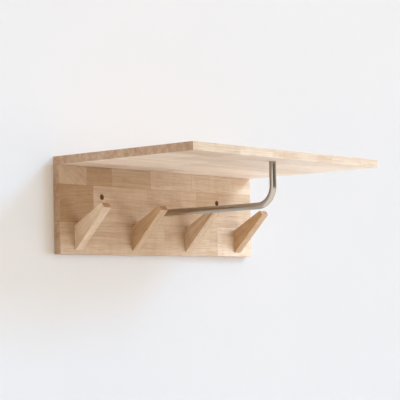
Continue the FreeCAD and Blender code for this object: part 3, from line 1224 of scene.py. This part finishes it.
def make_screws(name, node, slot, heads, radius, head_radius, tip, recess, recess_depth):
    bm = bmesh.new()
    for start, length, into in heads:
        rings = screw_rings(radius, head_radius, length, tip, recess, recess_depth)
        lathe(bm, rings, start, into, SCREW_STEPS)
    bmesh.ops.recalc_face_normals(bm, faces=bm.faces[:])
    print(name, len(heads))
    return dress(link_piece(name, bm), node, slot, zinc)


peg_screws = make_screws("peg_screw_set", "peg_screws", "screw_steel",
                         [(*head, TO_ROOM) for head in peg_screw_heads],
                         PEG_SCREW_R, PEG_SCREW_HEAD_R, POINT_R, cross_recess, CROSS_DEPTH)
shelf_screws = make_screws("shelf_screw_set", "shelf_screws", "screw_steel",
                           [(*head, DOWN) for head in shelf_screw_heads],
                           SHELF_SCREW_R, SHELF_SCREW_HEAD_R, POINT_R, key_recess, KEY_DEPTH)
rod_bolts = make_screws("rod_bolt_set", "rod_bolts", "bolt_steel",
                        [(*rear_bolt_head, TO_ROOM), (*top_bolt_head, DOWN)],
                        BOLT_R, BOLT_HEAD_R, BOLT_END_R, key_recess, BOLT_KEY_DEPTH)

# %% [markdown]
# ## Dowels
# Fluted beech dowels are glued out of sight between the pieces. They could be rebuilt like the
# screws, but their shape in the frame is right and nobody sees them. So they stay, and only get a
# plain beech finish with small flecks, which reads the position in space.

# %% Dowels
def beech_finish(name, pale, fleck):
    finish, tree, shader = new_finish(name, Roughness=0.62)
    place = add_node(tree, "ShaderNodeTexCoord").outputs["Object"]
    flecks = noise(tree, place, (700.0, 700.0, 120.0))
    clouds = noise(tree, place, (60.0, 60.0, 60.0))
    colour = mix_colour(tree, remap(tree, flecks, 0.55, 0.72), (*pale, 1.0), (*fleck, 1.0))
    colour = mix_colour(tree, remap(tree, clouds, 0.3, 0.7, 0.0, 0.25), colour, (*fleck, 1.0))
    tree.links.new(colour, shader.inputs["Base Color"])
    tree.links.new(remap(tree, flecks, 0.3, 0.7, 0.55, 0.70), shader.inputs["Roughness"])
    return finish


dowel_beech = beech_finish("dowel_beech", pale=(0.68, 0.49, 0.32), fleck=(0.46, 0.28, 0.15))
for node in ("peg_dowels", "shelf_dowels"):
    dowels = frame["nodes"][node]
    dowels.data.materials.clear()
    dowels.data.materials.append(dowel_beech)
print("dowels dressed in", dowel_beech.name)

# %% [markdown]
# ## Paint for the wall and the floor
# The rack hangs on a pale wall, over a plain pale floor that throws light back up under the shelf.
# A flat colour would do from afar, but real paint is never quite even, so a soft noise mottles it
# by one and a half percent. Both can be looked through from their rear side, so that the rack can
# be viewed from behind and from below.

# %% Stage paint
PAINT_MOTTLE = 0.985
MOTTLE_WAVES = (3.0, 3.0, 3.0)           # per metre


def paint_finish(name, colour):
    finish, tree, shader = new_finish(name, Roughness=0.9)
    place = add_node(tree, "ShaderNodeTexCoord").outputs["Object"]
    mottle = noise(tree, place, MOTTLE_WAVES, 3.0)
    darker = [c * PAINT_MOTTLE for c in colour]
    shade = mix_colour(tree, remap(tree, mottle, 0.3, 0.7), (*colour, 1.0), (*darker, 1.0))
    tree.links.new(shade, shader.inputs["Base Color"])
    rear = add_node(tree, "ShaderNodeNewGeometry").outputs["Backfacing"]
    clear = add_node(tree, "ShaderNodeBsdfTransparent").outputs[0]
    choice = add_node(tree, "ShaderNodeMixShader", i0=rear, i1=shader.outputs[0], i2=clear)
    tree.links.new(choice.outputs[0], tree.nodes["Material Output"].inputs["Surface"])
    return finish


wall_paint = paint_finish("wall_paint", (0.878, 0.856, 0.826))
floor_paint = paint_finish("floor_paint", (0.82, 0.81, 0.79))
print("paints:", wall_paint.name, floor_paint.name)

# %% [markdown]
# ## The wall
# The wall catches the soft shadow that makes the rack look hung up and not pasted on. A single
# plane would keep all light from the rear of the board, and views from behind would be black. So
# the plane has an opening behind the rack, which the board hides from the room. Two small discs
# close it again behind the wall-screw holes, so that no light shines through them.

# %% Wall
WALL_HALF = 6.0
WALL_UP = 4.0
FLOOR_Z = -1.35
OPENING_INSET = EDGE_EASE
DISC_STEPS = 16


def make_wall():
    """Eight fields round the opening behind the rack, and a disc behind each wall-screw hole."""
    bm = bmesh.new()
    xs = (-WALL_HALF, board_low.x + OPENING_INSET, board_high.x - OPENING_INSET, WALL_HALF)
    zs = (FLOOR_Z, board_low.z + OPENING_INSET, shelf_high.z - OPENING_INSET, WALL_UP)
    grid = [[bm.verts.new((x, board_high.y, z)) for x in xs] for z in zs]
    for row in range(3):
        for column in range(3):
            if (row, column) != (1, 1):
                bm.faces.new((grid[row][column], grid[row][column + 1],
                              grid[row + 1][column + 1], grid[row + 1][column]))
    angles = [math.tau * i / DISC_STEPS for i in range(DISC_STEPS)]
    disc_r = 2 * wall_hole_r
    for x in wall_hole_xs:
        bm.faces.new([bm.verts.new((x + disc_r * math.cos(a), board_high.y, disc_r * math.sin(a)))
                      for a in angles])
    made = link_piece("wall", bm)
    made.data.materials.append(wall_paint)
    return made


wall = make_wall()
print("wall fields and discs:", len(wall.data.polygons))

# %% [markdown]
# ## The floor
# The floor lies well below the picture. It could be left out there, but then the underside of the
# shelf would lose the light that a floor sends up. It is needed for its light alone, so one square
# is enough. The steel doesn't mirror it, because its edge would draw a hard line along the rod.

# %% Floor
def make_floor():
    bm = bmesh.new()
    corners = ((-1, -1), (1, -1), (1, 1), (-1, 1))
    bm.faces.new([bm.verts.new((x * WALL_HALF, y * WALL_HALF, FLOOR_Z)) for x, y in corners])
    made = link_piece("floor", bm)
    made.data.materials.append(floor_paint)
    made.visible_glossy = False
    return made


floor = make_floor()
print("floor at", FLOOR_Z, "m")

# %% [markdown]
# ## Two kinds of lamp
# Light from a window far away comes from one direction, and light from a reflector close by
# spreads out. Blender has a lamp for each: a sun, which lights everything evenly and whose angle
# softens its shadows, and an area lamp, which is a glowing square. The suns don't show in the
# steel, where they would be glaring discs.

# %% Lamp helpers
scene.view_settings.view_transform = "Standard"


def sun_lamp(name, towards, strength, angle, tint):
    lamp = bpy.data.objects.new(name, bpy.data.lights.new(name, "SUN"))
    lamp.data.energy = strength
    lamp.data.color = tint
    lamp.visible_glossy = False
    lamp.data.angle = math.radians(angle)
    lamp.rotation_euler = Vector(towards).to_track_quat("-Z", "Y").to_euler()
    scene.collection.objects.link(lamp)
    return lamp


def square_lamp(name, place, size, watts, tint):
    """A glowing square that faces the rack."""
    lamp = bpy.data.objects.new(name, bpy.data.lights.new(name, "AREA"))
    lamp.data.size = size
    lamp.data.energy = watts
    lamp.data.color = tint
    lamp.location = place
    lamp.rotation_euler = (-lamp.location).to_track_quat("-Z", "Y").to_euler()
    scene.collection.objects.link(lamp)
    return lamp


print("colours are shown with the", scene.view_settings.view_transform, "view")

# %% [markdown]
# ## The window
# A cool window stands to the right of the rack, in front of it and higher. The shelf keeps its
# light off most of the board and leaves a lit corner on the right. One sun could do all of it, but
# a photographer tunes each effect with flags and reflectors, and we do it with four suns. A broad
# and a narrow one light the rack. A narrow one throws the shelf's shadow on the wall, and a level
# one the board's own shadow, close to its left end.

# %% Window lamps
key_lamp = sun_lamp("key_lamp", towards=(-0.85, 1.0, -0.72), strength=1.9, angle=38.0,
                    tint=(0.54, 0.76, 1.0))
wall_lamp = sun_lamp("wall_lamp", towards=(-1.10, 1.0, -0.84), strength=1.15, angle=12.0,
                     tint=(0.22, 0.54, 1.0))
edge_lamp = sun_lamp("edge_lamp", towards=(-2.0, 1.0, 0.0), strength=1.68, angle=30.0,
                     tint=(0.45, 0.69, 1.0))
rack_key_lamp = sun_lamp("rack_key_lamp", towards=(-0.92, 1.0, -0.65), strength=2.55, angle=16.0,
                         tint=(0.46, 0.70, 1.0))
print("window lamps:", [lamp.name for lamp in (key_lamp, wall_lamp, edge_lamp, rack_key_lamp)])

# %% [markdown]
# ## Light from below, behind and the left
# The room's own light could fill all shadows alone, but it would leave the rack flat. A reflector
# low on the right lifts the shelf's underside, and a weak one in the same place the pegs. A third
# one, farther out, lights the board and throws the pegs' soft shadows up and to the left. A warm
# sun along the wall brightens the faces on the left, and a lamp behind the wall keeps the rear
# visible in views from there.

# %% Reflectors
low_place = (1.0, -0.35, -0.85)
low_lamp = square_lamp("low_lamp", low_place, size=0.8, watts=13.8, tint=(0.66, 0.80, 0.96))
peg_lamp = square_lamp("peg_lamp", low_place, size=0.8, watts=2.7, tint=(0.74, 0.80, 0.86))
board_lamp = square_lamp("board_lamp", (1.2, -1.2, -1.05), size=1.2, watts=15.5,
                         tint=(0.72, 0.84, 0.96))
rear_lamp = square_lamp("rear_lamp", (0.6, 2.4, 0.5), size=2.0, watts=14.0, tint=(1.0, 1.0, 1.0))
left_lamp = sun_lamp("left_lamp", towards=(1.0, 0.0, 0.0), strength=0.53, angle=20.0,
                     tint=(1.0, 0.86, 0.68))
reflectors = (low_lamp, peg_lamp, board_lamp, rear_lamp, left_lamp)
print("reflectors:", [lamp.name for lamp in reflectors])

# %% [markdown]
# ## Which pieces a lamp lights
# A photographer shades a lamp with cards, so that it reaches one thing and leaves another.
# Blender's light linking does this with two collections: what a lamp lights, and what throws
# shadows from it. The low lamps would otherwise throw the shelf's shadow up the wall. The left sun
# has no blockers at all, because it stands for light that comes round every corner.

# %% Light linking
rack = [back_board, shelf, *pegs, support_rod, peg_screws, shelf_screws, rod_bolts]
links = (                # lamp, what it lights, what throws shadows
    (key_lamp, rack, rack),
    (rack_key_lamp, rack, rack),
    (wall_lamp, [wall, floor], rack),
    (edge_lamp, [wall, floor], [back_board]),
    (low_lamp, [shelf], rack),
    (peg_lamp, pegs, rack),
    (board_lamp, [back_board], rack),
    (left_lamp, rack, []),
)


def piece_group(name, pieces):
    group = bpy.data.collections.new(name)
    for piece in pieces:
        group.objects.link(piece)
    return group


for lamp, lit, blockers in links:
    lamp.light_linking.receiver_collection = piece_group(lamp.name + "_lights", lit)
    lamp.light_linking.blocker_collection = piece_group(lamp.name + "_blockers", blockers)
print("linked lamps:", len(links))

# %% [markdown]
# ## The room's own light
# Pale walls and a ceiling all round send back a soft warm light, more of it on the window's side.
# A picture of a room could light the scene, but a few nodes give the same softness and can be
# tuned. The direction of a ray is compared with the direction of the window, and the strength
# rises with the square of the likeness.

# %% Room light
WINDOW_SIDE = (0.80, -0.55, -0.24)
ROOM_TINT = (1.0, 0.85, 0.67, 1.0)
ROOM_DIM, ROOM_BRIGHT = 0.37, 1.50


def likeness(tree, way, towards):
    """From -1 where two directions are opposite to 1 where they agree."""
    made = add_node(tree, "ShaderNodeVectorMath", {"operation": "DOT_PRODUCT"}, i0=way, i1=towards)
    return made.outputs["Value"]


world = bpy.data.worlds.new("room")
world.use_nodes = True
scene.world = world
sky = world.node_tree
way = add_node(sky, "ShaderNodeTexCoord").outputs["Generated"]
window_side = likeness(sky, way, WINDOW_SIDE)
brighter = math_node(sky, "POWER", remap(sky, window_side, -0.9, 0.9), 2.0)
room_light = sky.nodes["Background"]
room_light.inputs["Color"].default_value = ROOM_TINT
strength = remap(sky, brighter, 0.0, 1.0, ROOM_DIM, ROOM_BRIGHT)
sky.links.new(strength, room_light.inputs["Strength"])
print("the room's light goes from", ROOM_DIM, "to", ROOM_BRIGHT)

# %% [markdown]
# ## What the steel mirrors
# Polished metal is only as good as what it mirrors. The rod shows bright and dark stripes, because
# the room is bright but has a dark part in front of the wall, above the level of the rod. If the
# rod mirrored the soft light above, it would be one flat grey. So rays that come from a shiny
# surface see a room of their own.

# %% Room for reflections
DARK_SIDE = (0.03, -1.0, 0.0)
BRIGHT_ROOM = (1.55, 1.52, 1.48, 1.0)
DIM_LEFT = (0.15, 0.145, 0.14, 1.0)
DIM_RIGHT = (0.42, 0.41, 0.40, 1.0)
level = add_node(sky, "ShaderNodeSeparateXYZ", Vector=way).outputs["Z"]
in_front = remap(sky, likeness(sky, way, DARK_SIDE), 0.50, 0.66)
dim_part = math_node(sky, "MULTIPLY", in_front, remap(sky, level, -0.22, -0.02))
dim_tone = mix_colour(sky, remap(sky, window_side, -0.2, 0.95), DIM_LEFT, DIM_RIGHT)
room_tone = mix_colour(sky, dim_part, BRIGHT_ROOM, dim_tone)
mirrored_room = add_node(sky, "ShaderNodeBackground", Color=room_tone, Strength=1.0)
print("the mirrored room is", BRIGHT_ROOM[0], "bright and down to", DIM_LEFT[0], "in its dim part")

# %% [markdown]
# ## The backdrop
# Where the camera looks past the wall and the floor, it sees the world. A warm patchy room would
# disturb there, so rays from the camera see one pale grey. The Light Path node tells the three
# kinds of rays apart, and the light on the rack stays as it is.

# %% Backdrop
BACKDROP = (0.86, 0.86, 0.86, 1.0)
backdrop = add_node(sky, "ShaderNodeBackground", Color=BACKDROP, Strength=1.0)
ray = add_node(sky, "ShaderNodeLightPath").outputs
lit_or_shiny = add_node(sky, "ShaderNodeMixShader", i0=ray["Is Glossy Ray"],
                        i1=room_light.outputs[0], i2=mirrored_room.outputs[0])
seen = add_node(sky, "ShaderNodeMixShader", i0=ray["Is Camera Ray"],
                i1=lit_or_shiny.outputs[0], i2=backdrop.outputs[0])
sky.links.new(seen.outputs[0], sky.nodes["World Output"].inputs["Surface"])
